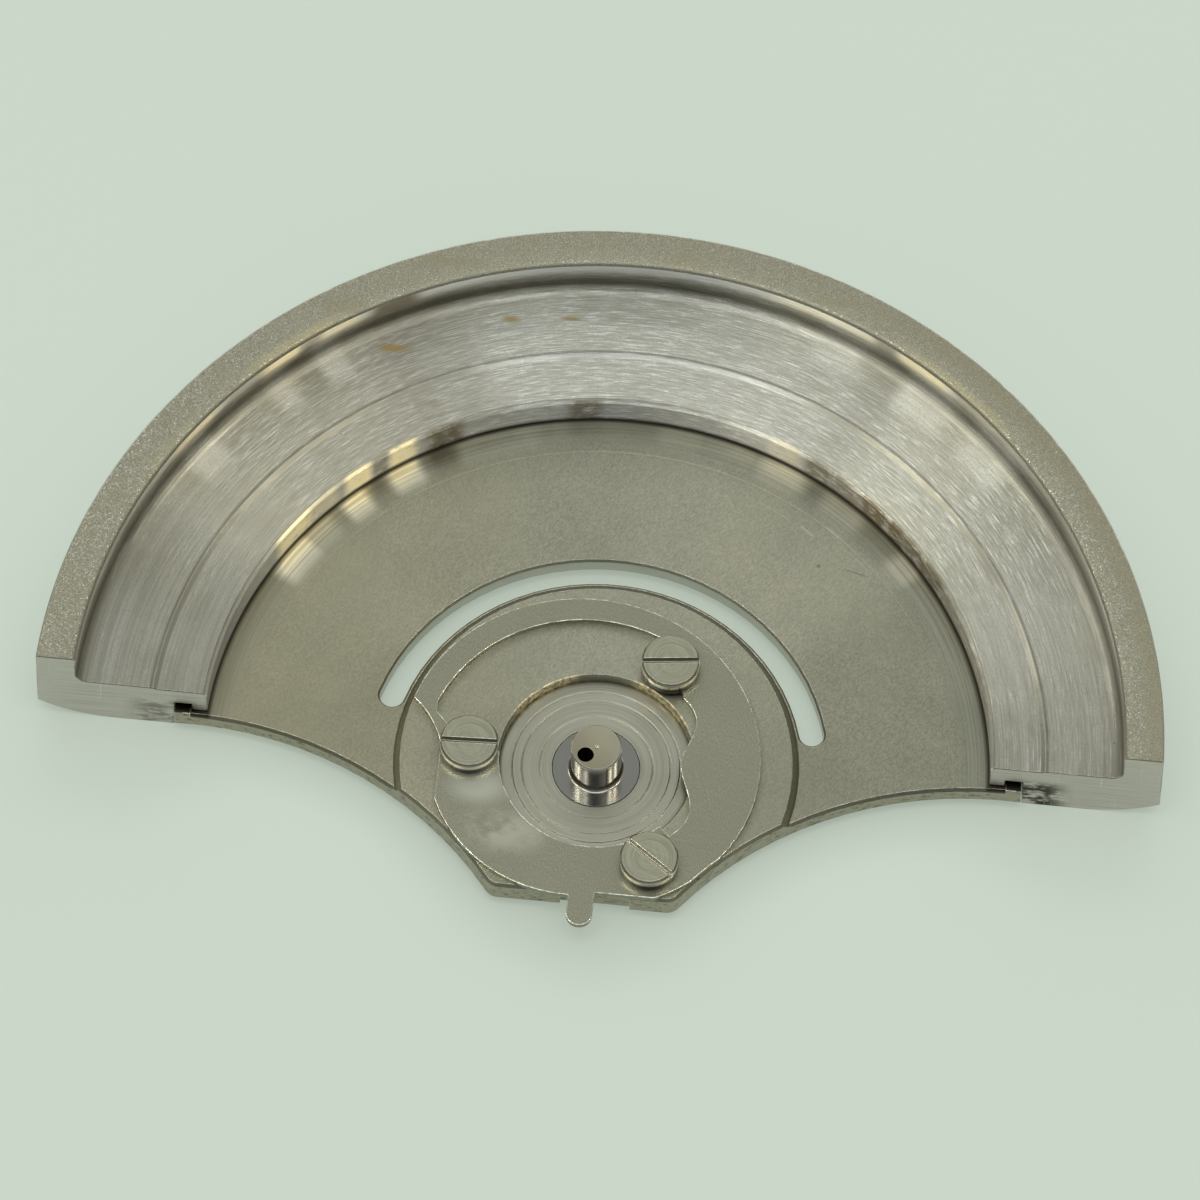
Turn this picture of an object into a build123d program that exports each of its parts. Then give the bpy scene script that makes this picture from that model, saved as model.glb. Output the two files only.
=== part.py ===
from build123d import *
import math
import os

os.makedirs("parts", exist_ok=True)

# Winding rotor of a self-winding wristwatch, lying with its axle side up.
# +Z runs along the axle, +Y through the middle of the heavy half ring. The origin is on the
# axle's axis, in the plane of the polished shoulder that the axle stands on. Millimetres.

# Heavy half ring
weight_radius = 13.0
weight_height = 2.72
weight_drop = 0.34
weight_end_y = 0.46
rim_width = 0.90
rim_foot_fillet = 0.30
rim_inner_round = 0.10
rim_edge_break = 0.03
floor_thickness = 1.67
outer_floor_width = 1.79
inner_floor_width = 1.246
step_run = 0.10
step_drop = 0.05
bore_edge_break = 0.10
under_round_run = 1.80
under_round_rise = 0.56
groove_reach = 0.736
groove_headroom = 0.19

# Thin plate that carries the ring, with its raised hub and its upturned rim
plate_thickness = 0.42
shoulder_height = 0.34
rim_bead_width = 0.36
rim_bead_height = 0.52
plate_end_y = 0.31
plate_end_inset = 0.395
hub_half_width = 2.115
hub_corner_fillet = 0.35
side_edge_break = 0.07
web_mark_inset = 0.864
web_mark_width = 0.07
web_mark_depth = 0.015
boss_rise = 0.17
boss_flank_run = 0.16
boss_margin = 0.01
recess_edge_break = 0.05
slot_margin = 0.074
slot_width = 0.576
slot_end_angle = 15.4
slot_bevel = 0.05
tab_notch_width = 1.60
tab_notch_depth = 0.08
tab_notch_x = 0.31

# Turned collar in the hub, pressed in from below
collar_flange_lip = 0.36
collar_flange_thickness = 0.14
mark_shares = (0.242, 0.577, 0.759)
mark_width = 0.05
mark_depth = 0.02

# Axle with its polished shoulder
axle_radius = 0.587
axle_height = 1.02
axle_shoulder_radius = 1.016
axle_base_fillet = 0.09
axle_top_chamfer = 0.035
shoulder_chamfer = 0.015
oil_hole_radius = 0.19
oil_hole_depth = 0.75
oil_hole_wall = 0.086
oil_hole_angle = 222.4
centre_mark_radius = 0.06
centre_mark_depth = 0.03

# Screws
screw_inset = 0.85
screw_angles = (180.0, 60.0, 300.0)
screw_slot_angles = (2.5, 6.5, -36.0)
screw_names = ("screw_left", "screw_upper", "screw_lower")
head_radius = 0.68
head_height = 0.37
head_chamfer = 0.05
driver_slot_width = 0.13
driver_slot_depth = 0.17
shank_radius = 0.33

# Latch plate, a thin leaf with a curved spring arm and a finger tab
latch_thickness = 0.14
latch_radius = 3.79
latch_chord_depth = 0.39
latch_overhang = 0.02
latch_left_shrink = 0.27
left_edge_inset = 0.28
latch_inset = 0.04
latch_corner_fillet = 0.22
arm_shift = 0.36
arm_width = 0.438
arm_tip_angle = 163.5
neck_foot_y = 0.05
neck_hollow = 0.10
neck_width = 0.17
tab_width = 0.60
tab_length = 0.86
opening_shift_x = 0.28
opening_shift_y = 0.116
opening_left_y = 0.86
opening_right_angle = 66.5
inner_edge_overlap = 0.20
inner_edge_drop = 0.46
inner_edge_draw = 0.18
wave_depth = 0.10
wave_pitch = 0.67
wave_middle_y = 0.13
latch_travel = 5.5

# Clearances
press_gap = 0.005
groove_gap = 0.02
thread_gap = 0.01
latch_gap = 0.03
lift_gap = 0.01
overrun = 1.0

# Levels that follow
underside_z = -shoulder_height
plate_top_z = underside_z + plate_thickness
boss_top_z = plate_top_z + boss_rise
latch_bottom_z = boss_top_z + lift_gap
latch_top_z = latch_bottom_z + latch_thickness
head_bottom_z = latch_top_z + lift_gap
head_top_z = head_bottom_z + head_height
weight_bottom_z = underside_z - weight_drop
floor_z = weight_bottom_z + floor_thickness
inner_floor_z = floor_z - step_drop
rim_top_z = weight_bottom_z + weight_height
rim_wall_height = rim_top_z - floor_z
groove_top_z = underside_z + rim_bead_height + groove_headroom

# Radii that follow, the ring's from its outside inwards and the hub's from the latch plate
rim_inner_radius = weight_radius - rim_width
step_radius = rim_inner_radius - outer_floor_width
weight_bore_radius = step_radius - inner_floor_width
plate_radius = weight_bore_radius + groove_reach
bead_inner_radius = plate_radius - rim_bead_width
web_mark_radius = weight_bore_radius - web_mark_inset
arm_radius = latch_radius + arm_shift
boss_radius = arm_radius + arm_shift + boss_margin
boss_foot_radius = boss_radius + boss_flank_run
slot_inner_radius = boss_foot_radius + slot_margin
slot_middle_radius = slot_inner_radius + slot_width / 2
screw_circle_radius = latch_radius - screw_inset
collar_flange_radius = screw_circle_radius - shank_radius - thread_gap
collar_radius = collar_flange_radius - collar_flange_lip

# The hub's straight edge, and the round cuts from it to the plate's ends
latch_chord = latch_radius - latch_chord_depth
hub_chord = latch_chord - latch_overhang
side_cut_x = plate_radius - plate_end_inset
side_cut_run = side_cut_x - hub_half_width
side_cut_rise = plate_end_y + hub_chord
side_cut_radius = (side_cut_run**2 + side_cut_rise**2) / (2 * side_cut_rise)
side_cut_y = plate_end_y - side_cut_radius

# Heavy half ring: one turned section, rounded below on its outer side, with a groove for the plate's upturned rim
with BuildPart() as oscillating_weight:
    with BuildSketch(Plane.XZ) as weight_section:
        with BuildLine():
            Polyline(
                (weight_bore_radius, plate_top_z + groove_gap),
                (weight_bore_radius, inner_floor_z - bore_edge_break),
                (weight_bore_radius + bore_edge_break, inner_floor_z),
                (step_radius - step_run, inner_floor_z),
                (step_radius, floor_z),
                (rim_inner_radius, floor_z),
                (rim_inner_radius, rim_top_z),
                (weight_radius - rim_edge_break, rim_top_z),
                (weight_radius, rim_top_z - rim_edge_break),
                (weight_radius, weight_bottom_z + under_round_rise),
            )
            TangentArc(
                (weight_radius - under_round_run, weight_bottom_z),
                (weight_radius, weight_bottom_z + under_round_rise),
                tangent=(1, 0),
            )
            Polyline(
                (weight_radius - under_round_run, weight_bottom_z),
                (plate_radius + groove_gap, weight_bottom_z),
                (plate_radius + groove_gap, groove_top_z),
                (bead_inner_radius - groove_gap, groove_top_z),
                (bead_inner_radius - groove_gap, plate_top_z + groove_gap),
                (weight_bore_radius, plate_top_z + groove_gap),
            )
        make_face()
        rim_foot = weight_section.vertices().sort_by_distance((rim_inner_radius, floor_z))[0]
        fillet(rim_foot, radius=min(rim_foot_fillet, rim_wall_height - 2 * rim_inner_round))
        rim_inner_edge = weight_section.vertices().sort_by_distance((rim_inner_radius, rim_top_z))[0]
        fillet(rim_inner_edge, radius=rim_inner_round)
    revolve(axis=Axis.Z)
    split(bisect_by=Plane.XZ.offset(-weight_end_y), keep=Keep.BOTTOM)
oscillating_weight.part.label = "oscillating_weight"
export_step(oscillating_weight.part, "parts/oscillating_weight.step")

# Carrier plate: a turned section cut to its outline
with BuildPart() as rotor_plate:
    with BuildSketch(Plane.XZ):
        with BuildLine():
            Polyline(
                (0, underside_z),
                (plate_radius, underside_z),
                (plate_radius, underside_z + rim_bead_height),
                (bead_inner_radius, underside_z + rim_bead_height),
                (bead_inner_radius, plate_top_z),
                (boss_foot_radius, plate_top_z),
                (boss_radius, boss_top_z),
                (0, boss_top_z),
                close=True,
            )
        make_face()
    revolve(axis=Axis.Z)
    with BuildSketch(Plane.XY.offset(underside_z)) as plate_outline:
        Circle(plate_radius + overrun)
        with Locations((0, -hub_chord - plate_radius)):
            Rectangle(4 * plate_radius, 2 * plate_radius, mode=Mode.SUBTRACT)
        with Locations((side_cut_x, side_cut_y), (-side_cut_x, side_cut_y)):
            Circle(side_cut_radius, mode=Mode.SUBTRACT)
        with Locations((0, plate_end_y - plate_radius - side_cut_radius)):
            Rectangle(4 * plate_radius, 2 * plate_radius, mode=Mode.SUBTRACT)
        fillet(plate_outline.vertices().group_by(Axis.Y)[0], radius=hub_corner_fillet)
        with Locations((tab_notch_x, -hub_chord)):
            Rectangle(tab_notch_width, 2 * tab_notch_depth, mode=Mode.SUBTRACT)
    extrude(amount=boss_top_z - underside_z + rim_bead_height, mode=Mode.INTERSECT)
    side_edges = (
        rotor_plate.edges()
        .filter_by(lambda e: e.geom_type == GeomType.CIRCLE)
        .filter_by(lambda e: abs(e.radius - side_cut_radius) < press_gap)
        .filter_by(lambda e: abs(e.center().X) < bead_inner_radius and e.center().Z > underside_z + press_gap)
    )
    chamfer(side_edges, side_edge_break)
    with BuildSketch(Plane.XZ):
        with BuildLine():
            Polyline(
                (web_mark_radius - web_mark_width / 2, plate_top_z),
                (web_mark_radius + web_mark_width / 2, plate_top_z),
                (web_mark_radius, plate_top_z - web_mark_depth),
                close=True,
            )
        make_face()
    revolve(axis=Axis.Z, mode=Mode.SUBTRACT)
    with BuildSketch(Plane.XY.offset(underside_z)):
        with BuildLine():
            slot_middle = CenterArc((0, 0), slot_middle_radius, slot_end_angle, 180 - 2 * slot_end_angle)
        SlotArc(slot_middle, slot_width)
    extrude(amount=plate_thickness, mode=Mode.SUBTRACT)
    slot_edge = (
        rotor_plate.edges()
        .filter_by_position(Axis.Z, plate_top_z - press_gap, plate_top_z + press_gap)
        .filter_by(lambda e: e.geom_type == GeomType.CIRCLE)
        .filter_by(lambda e: abs(e.radius - slot_inner_radius - slot_width) < press_gap)
    )
    chamfer(slot_edge, slot_bevel)
    with BuildSketch(Plane.XY.offset(underside_z)):
        Circle(collar_radius)
    extrude(amount=boss_top_z - underside_z, mode=Mode.SUBTRACT)
    recess_edge = (
        rotor_plate.edges()
        .filter_by_position(Axis.Z, boss_top_z - press_gap, boss_top_z + press_gap)
        .filter_by(lambda e: e.geom_type == GeomType.CIRCLE)
        .filter_by(lambda e: abs(e.radius - collar_radius) < press_gap)
    )
    chamfer(recess_edge, recess_edge_break)
    with BuildSketch(Plane.XY.offset(underside_z)):
        Circle(collar_flange_radius)
    extrude(amount=collar_flange_thickness, mode=Mode.SUBTRACT)
    with BuildSketch(Plane.XY.offset(underside_z)):
        with PolarLocations(screw_circle_radius, len(screw_angles), start_angle=screw_angles[0]):
            Circle(shank_radius + thread_gap)
    extrude(amount=boss_top_z - underside_z, mode=Mode.SUBTRACT)
rotor_plate.part.label = "rotor_plate"
export_step(rotor_plate.part, "parts/rotor_plate.step")

# Collar: a turned disc with fine rings on its face and a flange underneath
with BuildPart() as axle_collar:
    with BuildSketch(Plane.XZ):
        with BuildLine():
            Polyline(
                (axle_shoulder_radius + press_gap, 0),
                (axle_shoulder_radius + press_gap, underside_z),
                (collar_flange_radius - press_gap, underside_z),
                (collar_flange_radius - press_gap, underside_z + collar_flange_thickness - press_gap),
                (collar_radius - press_gap, underside_z + collar_flange_thickness - press_gap),
                (collar_radius - press_gap, 0),
                close=True,
            )
        make_face()
        for mark_share in mark_shares:
            mark_radius = axle_shoulder_radius + mark_share * (collar_radius - axle_shoulder_radius)
            with BuildLine():
                Polyline(
                    (mark_radius - mark_width / 2, 0),
                    (mark_radius + mark_width / 2, 0),
                    (mark_radius, -mark_depth),
                    close=True,
                )
            make_face(mode=Mode.SUBTRACT)
    revolve(axis=Axis.Z)
axle_collar.part.label = "axle_collar"
export_step(axle_collar.part, "parts/axle_collar.step")

# Axle: a shoulder set in the collar, and the journal that stands on it, with an oil hole in its end
oil_hole_offset = axle_radius - oil_hole_wall - oil_hole_radius
oil_hole_x = oil_hole_offset * math.cos(math.radians(oil_hole_angle))
oil_hole_y = oil_hole_offset * math.sin(math.radians(oil_hole_angle))
with BuildPart() as axle:
    with BuildSketch(Plane.XZ) as axle_section:
        with BuildLine():
            Polyline(
                (0, underside_z),
                (axle_shoulder_radius, underside_z),
                (axle_shoulder_radius, -shoulder_chamfer),
                (axle_shoulder_radius - shoulder_chamfer, 0),
                (axle_radius, 0),
                (axle_radius, axle_height - axle_top_chamfer),
                (axle_radius - axle_top_chamfer, axle_height),
                (centre_mark_radius, axle_height),
                (0, axle_height - centre_mark_depth),
                close=True,
            )
        make_face()
        axle_root = axle_section.vertices().sort_by_distance((axle_radius, 0))[0]
        fillet(axle_root, radius=axle_base_fillet)
    revolve(axis=Axis.Z)
    with BuildSketch(Plane.XY.offset(axle_height)):
        with Locations((oil_hole_x, oil_hole_y)):
            Circle(oil_hole_radius)
    extrude(amount=-oil_hole_depth, mode=Mode.SUBTRACT)
axle.part.label = "axle"
export_step(axle.part, "parts/axle.step")

# Three slotted screws that hold the latch plate down
for name, around, slot_turn in zip(screw_names, screw_angles, screw_slot_angles):
    screw_x = screw_circle_radius * math.cos(math.radians(around))
    screw_y = screw_circle_radius * math.sin(math.radians(around))
    with BuildPart() as screw:
        with BuildSketch(Plane.XY.offset(underside_z)):
            with Locations((screw_x, screw_y)):
                Circle(shank_radius)
        extrude(amount=head_bottom_z - underside_z)
        with BuildSketch(Plane.XY.offset(head_bottom_z)):
            with Locations((screw_x, screw_y)):
                Circle(head_radius)
        extrude(amount=head_height)
        chamfer(screw.edges().group_by(Axis.Z)[-1], head_chamfer)
        with BuildSketch(Plane.XY.offset(head_top_z)):
            with Locations(Location((screw_x, screw_y), slot_turn)):
                Rectangle(2 * head_radius + overrun, driver_slot_width)
        extrude(amount=-driver_slot_depth, mode=Mode.SUBTRACT)
    screw.part.label = name
    export_step(screw.part, f"parts/{name}.step")

# Latch plate: outline, tab, the opening inside the spring arm and short slots for the screws
latch_left_radius = latch_radius - latch_left_shrink
latch_left_x = latch_left_radius + arm_shift - left_edge_inset
arm_tip = (
    arm_radius * math.cos(math.radians(arm_tip_angle)) - arm_shift,
    arm_radius * math.sin(math.radians(arm_tip_angle)),
)
neck_foot = (-latch_left_x, neck_foot_y)
neck_length = math.dist(arm_tip, neck_foot)
neck_middle = (
    (arm_tip[0] + neck_foot[0]) / 2 + neck_hollow * (arm_tip[1] - neck_foot[1]) / neck_length,
    (arm_tip[1] + neck_foot[1]) / 2 + neck_hollow * (neck_foot[0] - arm_tip[0]) / neck_length,
)
left_foot_y = -math.sqrt(latch_left_radius**2 - (latch_left_x - arm_shift) ** 2)
tab_root_y = -math.sqrt(latch_left_radius**2 - (arm_shift - tab_width / 2) ** 2)
chord_end_x = math.sqrt(latch_radius**2 - latch_chord**2)
opening_radius = arm_radius - arm_width
opening_left_x = latch_left_x + neck_width
opening_centre = (-opening_shift_x, -opening_shift_y)
opening_left_top_y = math.sqrt(opening_radius**2 - (opening_left_x - opening_shift_x) ** 2) - opening_shift_y
opening_right = (
    opening_radius * math.cos(math.radians(opening_right_angle)) - opening_shift_x,
    opening_radius * math.sin(math.radians(opening_right_angle)) - opening_shift_y,
)
inner_edge_x = collar_radius - inner_edge_overlap
inner_edge_half_height = collar_radius - inner_edge_drop
left_arc_start = math.degrees(math.atan2(left_foot_y, arm_shift - latch_left_x))
left_arc_end = math.degrees(math.atan2(tab_root_y, arm_shift - tab_width / 2))
recess_end_angle = math.degrees(math.atan2(-inner_edge_half_height, inner_edge_x - inner_edge_draw))
chord_end_angle = math.degrees(math.atan2(-latch_chord, chord_end_x))
arc_left_angle = math.degrees(math.atan2(opening_left_top_y + opening_shift_y, opening_shift_x - opening_left_x))

with BuildPart() as latch_plate:
    with BuildSketch(Plane.XY.offset(latch_bottom_z)) as latch_outline:
        with BuildLine():
            Line((tab_width / 2, -latch_chord), (chord_end_x, -latch_chord))
            CenterArc((0, 0), latch_radius, chord_end_angle, -chord_end_angle)
            CenterArc((-arm_shift, 0), arm_radius, 0, arm_tip_angle)
            ThreePointArc(arm_tip, neck_middle, neck_foot)
            Line(neck_foot, (-latch_left_x, left_foot_y))
            CenterArc((-arm_shift, 0), latch_left_radius, left_arc_start, left_arc_end - left_arc_start)
            Line((-tab_width / 2, tab_root_y), (tab_width / 2, -latch_chord))
        make_face()
        with Locations((side_cut_x, side_cut_y)):
            Circle(side_cut_radius + latch_inset, mode=Mode.SUBTRACT)
        chord_corner = latch_outline.vertices().sort_by_distance((chord_end_x, -latch_chord))[0]
        fillet(chord_corner, radius=latch_corner_fillet)
        with Locations((0, -latch_chord - tab_length / 2 + tab_width / 2)):
            Rectangle(tab_width, tab_length)
        with Locations((0, -latch_chord - tab_length + tab_width / 2)):
            Circle(tab_width / 2)
        with BuildLine():
            CenterArc((0, 0), collar_radius, 180, 180 + recess_end_angle)
            Line(
                (
                    collar_radius * math.cos(math.radians(recess_end_angle)),
                    collar_radius * math.sin(math.radians(recess_end_angle)),
                ),
                (inner_edge_x - inner_edge_draw, -inner_edge_half_height),
            )
            Spline(
                (inner_edge_x - inner_edge_draw, -inner_edge_half_height),
                (inner_edge_x + wave_depth, wave_middle_y - wave_pitch),
                (inner_edge_x - wave_depth, wave_middle_y),
                (inner_edge_x + wave_depth, wave_middle_y + wave_pitch),
                (inner_edge_x - inner_edge_draw, inner_edge_half_height),
            )
            Line((inner_edge_x - inner_edge_draw, inner_edge_half_height), opening_right)
            CenterArc(opening_centre, opening_radius, opening_right_angle, arc_left_angle - opening_right_angle)
            Polyline(
                (-opening_left_x, opening_left_top_y),
                (-opening_left_x, opening_left_y),
                (-screw_circle_radius, 0),
                (-collar_radius, 0),
            )
        make_face(mode=Mode.SUBTRACT)
        for around in screw_angles:
            with BuildLine():
                screw_path = CenterArc((0, 0), screw_circle_radius, around, -latch_travel)
            SlotArc(screw_path, 2 * (shank_radius + latch_gap), mode=Mode.SUBTRACT)
    extrude(amount=latch_thickness)
latch_plate.part.label = "latch_plate"
export_step(latch_plate.part, "parts/latch_plate.step")
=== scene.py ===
import bpy
import math
from mathutils import Matrix, Vector


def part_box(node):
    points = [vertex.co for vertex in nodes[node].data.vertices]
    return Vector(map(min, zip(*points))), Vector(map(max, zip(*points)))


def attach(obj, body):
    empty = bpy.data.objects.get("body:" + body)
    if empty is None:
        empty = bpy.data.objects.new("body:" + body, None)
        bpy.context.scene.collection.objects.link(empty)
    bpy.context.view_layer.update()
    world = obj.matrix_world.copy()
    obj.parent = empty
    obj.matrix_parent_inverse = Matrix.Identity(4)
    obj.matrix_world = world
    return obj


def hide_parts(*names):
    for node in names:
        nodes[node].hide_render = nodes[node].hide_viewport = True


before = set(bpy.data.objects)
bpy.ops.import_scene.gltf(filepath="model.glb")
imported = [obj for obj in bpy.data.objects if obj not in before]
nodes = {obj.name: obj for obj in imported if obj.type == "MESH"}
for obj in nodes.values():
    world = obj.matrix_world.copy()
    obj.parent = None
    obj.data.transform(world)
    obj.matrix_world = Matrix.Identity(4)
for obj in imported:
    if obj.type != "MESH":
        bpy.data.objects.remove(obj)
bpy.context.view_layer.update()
scene = bpy.context.scene
mm = 0.001  # everything below is given in millimetres and turned into metres with this
print("frame loaded:", ", ".join(sorted(nodes)))


# Node helpers
def feed(tree, socket, value):
    if isinstance(value, bpy.types.NodeSocket):
        tree.links.new(value, socket)
    else:
        socket.default_value = value


def feedAll(tree, sockets, values):
    for name, value in values.items():
        feed(tree, sockets[name], value)


def addNode(tree, kind, values=None, **attributes):
    node = tree.nodes.new("ShaderNode" + kind)
    for name, value in attributes.items():
        setattr(node, name, value)
    feedAll(tree, node.inputs, values or {})
    return node


def calc(tree, operation, *terms, clamp=False):
    node = addNode(tree, "Math", operation=operation, use_clamp=clamp)
    for socket, term in zip(node.inputs, terms):
        feed(tree, socket, term)
    return node.outputs[0]


def times(tree, product, *factors):
    for factor in factors:
        product = calc(tree, "MULTIPLY", product, factor)
    return product


def vecCalc(tree, operation, *terms):
    node = addNode(tree, "VectorMath", operation=operation)
    for socket, term in zip(node.inputs, terms):
        feed(tree, socket, term)
    return node.outputs["Value" if operation in ("LENGTH", "DISTANCE", "DOT_PRODUCT") else "Vector"]


def scaled(tree, vector, factor):
    return vecCalc(tree, "SCALE", vector, (0, 0, 0), (0, 0, 0), factor)


def joinXyz(tree, x, y, z):
    return addNode(tree, "CombineXYZ", {"X": x, "Y": y, "Z": z}).outputs[0]


def splitXyz(tree, vector):
    return addNode(tree, "SeparateXYZ", {0: vector}).outputs


def noiseAt(tree, vector, scale, detail, rough):
    return addNode(tree, "TexNoise", {"Vector": vector, "Scale": scale, "Detail": detail,
                                      "Roughness": rough}).outputs["Fac"]


def fade(tree, value, low, high, outLow=0.0, outHigh=1.0):
    return addNode(tree, "MapRange", {"Value": value, "From Min": low, "From Max": high, "To Min": outLow,
                                      "To Max": outHigh}, interpolation_type="SMOOTHSTEP").outputs[0]


def fadeFrom(tree, value, start, low, high, *outs):  # a fade whose limits are counted from a start
    return fade(tree, value, start + low, start + high, *outs)


def mixColour(tree, factor, first, second):
    node = addNode(tree, "Mix", {"Factor": factor, 6: first, 7: second}, data_type="RGBA")
    return node.outputs[2]


def rgb(red, green, blue):
    return (red, green, blue, 1.0)


def newGroup(name, **inputs):
    group = bpy.data.node_groups.new(name, "ShaderNodeTree")
    for label, value in inputs.items():
        kind = "NodeSocketVector" if isinstance(value, tuple) else "NodeSocketFloat"
        group.interface.new_socket(name=label, in_out="INPUT", socket_type=kind).default_value = value
    return group, group.nodes.new("NodeGroupInput").outputs


def closeGroup(group, **outputs):
    for label in outputs:
        kind = "NodeSocketVector" if label == "Normal" else "NodeSocketFloat"
        group.interface.new_socket(name=label, in_out="OUTPUT", socket_type=kind)
    feedAll(group, group.nodes.new("NodeGroupOutput").inputs, outputs)
    return group


def useGroup(tree, group, **values):
    node = tree.nodes.new("ShaderNodeGroup")
    node.node_tree = group
    feedAll(tree, node.inputs, values)
    return node.outputs


def millimetres(tree):
    return scaled(tree, addNode(tree, "TexCoord").outputs["Object"], 1 / mm)


def axesFrom(tree, centre=(0, 0, 0)):
    return splitXyz(tree, vecCalc(tree, "SUBTRACT", millimetres(tree), centre))


def radiusOf(tree, x, y):
    return vecCalc(tree, "LENGTH", joinXyz(tree, x, y, 0.0))


def turnedBy(tree, x, y, cosine, sine):  # x and y in axes that are turned by an angle
    return (calc(tree, "ADD", times(tree, x, cosine), times(tree, y, sine)),
            calc(tree, "SUBTRACT", times(tree, y, cosine), times(tree, x, sine)))


# Lathe marks: rings about an axis that break up along their way round; their short dashes (Glint, Dash) are where the
# finishes paint glints
ringEffect = {
    # coarse and short begin with how fine they are across the rings and along them
    "fine": (1.0, 2.0, 0.55), "coarse": (0.30, 0.6, (1.0, 2.0, 0.5)), "short": (1.3, 9.0, (1.0, 3.0, 0.65)),
    "fineShare": 0.8, "coarseShare": 0.2, "tone": (0.36, 0.64), "glint": (0.60, 0.74), "middle": 0.5,
}


def makeTurnedRings():
    s = ringEffect
    group, given = newGroup("turnedRings", Centre=(0, 0, 0), Pitch=0.06, Break=3.0)
    x, y, z = splitXyz(group, vecCalc(group, "SUBTRACT", millimetres(group), given["Centre"]))
    radius = radiusOf(group, x, y)
    across = calc(group, "DIVIDE", calc(group, "ADD", radius, z), given["Pitch"])
    turnX = times(group, calc(group, "DIVIDE", x, radius), given["Break"])
    turnY = times(group, calc(group, "DIVIDE", y, radius), given["Break"])
    fine = noiseAt(group, joinXyz(group, across, turnX, turnY), *s["fine"])
    coarse, short = [
        noiseAt(group, joinXyz(group, times(group, across, over), times(group, turnX, along),
                               times(group, turnY, along)), *noise)
        for over, along, noise in (s["coarse"], s["short"])]
    height = calc(group, "ADD", times(group, fine, s["fineShare"]), times(group, coarse, s["coarseShare"]))
    return closeGroup(group, Height=height, Tone=fade(group, height, *s["tone"]),
                      Glint=fade(group, short, *s["glint"]), Dash=calc(group, "SUBTRACT", short, s["middle"]))


# Satin grain, as from lapping on paper: fine, and only a little longer than it is wide
satinEffect = {"noise": (1.0, 3.0, 0.6), "tone": (0.36, 0.64), "cloudNoise": (0.35, 3.0, 0.55), "cloud": (0.34, 0.66)}


def makeSatinGrain():
    s = satinEffect
    group, given = newGroup("satinGrain", Turn=0.0, Pitch=0.03, Length=4.0)
    place, pitch = millimetres(group), given["Pitch"]
    x, y, z = splitXyz(group, place)
    cosine, sine = calc(group, "COSINE", given["Turn"]), calc(group, "SINE", given["Turn"])
    along, over = turnedBy(group, x, y, cosine, sine)
    drawn = joinXyz(group, calc(group, "DIVIDE", along, given["Length"]), over, z)
    fine = noiseAt(group, vecCalc(group, "DIVIDE", drawn, joinXyz(group, pitch, pitch, pitch)), *s["noise"])
    return closeGroup(group, Height=fine, Tone=fade(group, fine, *s["tone"]),
                      Cloud=fade(group, noiseAt(group, place, *s["cloudNoise"]), *s["cloud"]))


# Blasted surface: small pits with raised lips, bright flecks where a sparkle is painted, and dirt in soft patches
blastEffect = {
    "gritNoise": (0.8, 3.0, 0.7), "pitShare": 0.7, "glitterScale": 0.8, "sparkle": (0.72, 1.0), "pit": (0.80, 1.0),
    "dirtNoise": (1.5, 4.0, 0.7), "dirt": (0.42, 0.72),
}


def makeBlastGrain():
    s = blastEffect
    group, given = newGroup("blastGrain", Size=0.03)
    spot, size = millimetres(group), given["Size"]
    place = vecCalc(group, "DIVIDE", spot, joinXyz(group, size, size, size))
    pits = addNode(group, "TexVoronoi", {"Vector": place, "Scale": 1.0}, feature="SMOOTH_F1")
    height = calc(group, "ADD", times(group, pits.outputs["Distance"], s["pitShare"]),
                  noiseAt(group, place, *s["gritNoise"]))
    glitter = addNode(group, "TexVoronoi", {"Vector": place, "Scale": s["glitterScale"]})
    tint = addNode(group, "SeparateColor", {0: glitter.outputs["Color"]}).outputs
    return closeGroup(group, Height=height, Sparkle=fade(group, tint[0], *s["sparkle"]),
                      Dirt=fade(group, noiseAt(group, spot, *s["dirtNoise"]), *s["dirt"]),
                      Pit=fade(group, tint[1], *s["pit"]))


# Handling marks: thin scratches, dark specks and soft smudges
handlingEffect = {
    "scratches": ((0.35, 1.9, 0.022), (1.25, 1.3, 0.018), (2.3, 2.4, 0.025)),  # each: direction, length and width
    "scratchNoise": (1.0, 1.0, 0.4), "scratch": (0.70, 0.78), "speckScale": 1.6, "speckSize": (0.55, 1.0),
    "speckRadius": 0.055, "tiny": 0.0001, "smudgeNoise": (0.55, 4.0, 0.6), "smudge": (0.42, 0.68),
}


def makeHandlingMarks():
    s = handlingEffect
    group, given = newGroup("handlingMarks", Shift=0.0)
    place = vecCalc(group, "ADD", millimetres(group), joinXyz(group, given["Shift"], given["Shift"], 0.0))
    scratch = 0.0
    for turn, length, width in s["scratches"]:
        turned = addNode(group, "VectorRotate", {"Vector": place, "Angle": turn}, rotation_type="Z_AXIS")
        drawn = vecCalc(group, "DIVIDE", turned.outputs[0], (length, width, length))
        line = fade(group, noiseAt(group, drawn, *s["scratchNoise"]), *s["scratch"])
        scratch = calc(group, "MAXIMUM", scratch, line)
    cell = addNode(group, "TexVoronoi", {"Vector": place, "Scale": s["speckScale"]})
    size = addNode(group, "SeparateColor", {0: cell.outputs["Color"]}).outputs[1]
    reach = calc(group, "MAXIMUM", times(group, fade(group, size, *s["speckSize"]), s["speckRadius"]), s["tiny"])
    speck = calc(group, "SUBTRACT", 1.0, calc(group, "DIVIDE", cell.outputs["Distance"], reach), clamp=True)
    return closeGroup(group, Scratch=scratch, Speck=speck,
                      Smudge=fade(group, noiseAt(group, place, *s["smudgeNoise"]), *s["smudge"]))
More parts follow.
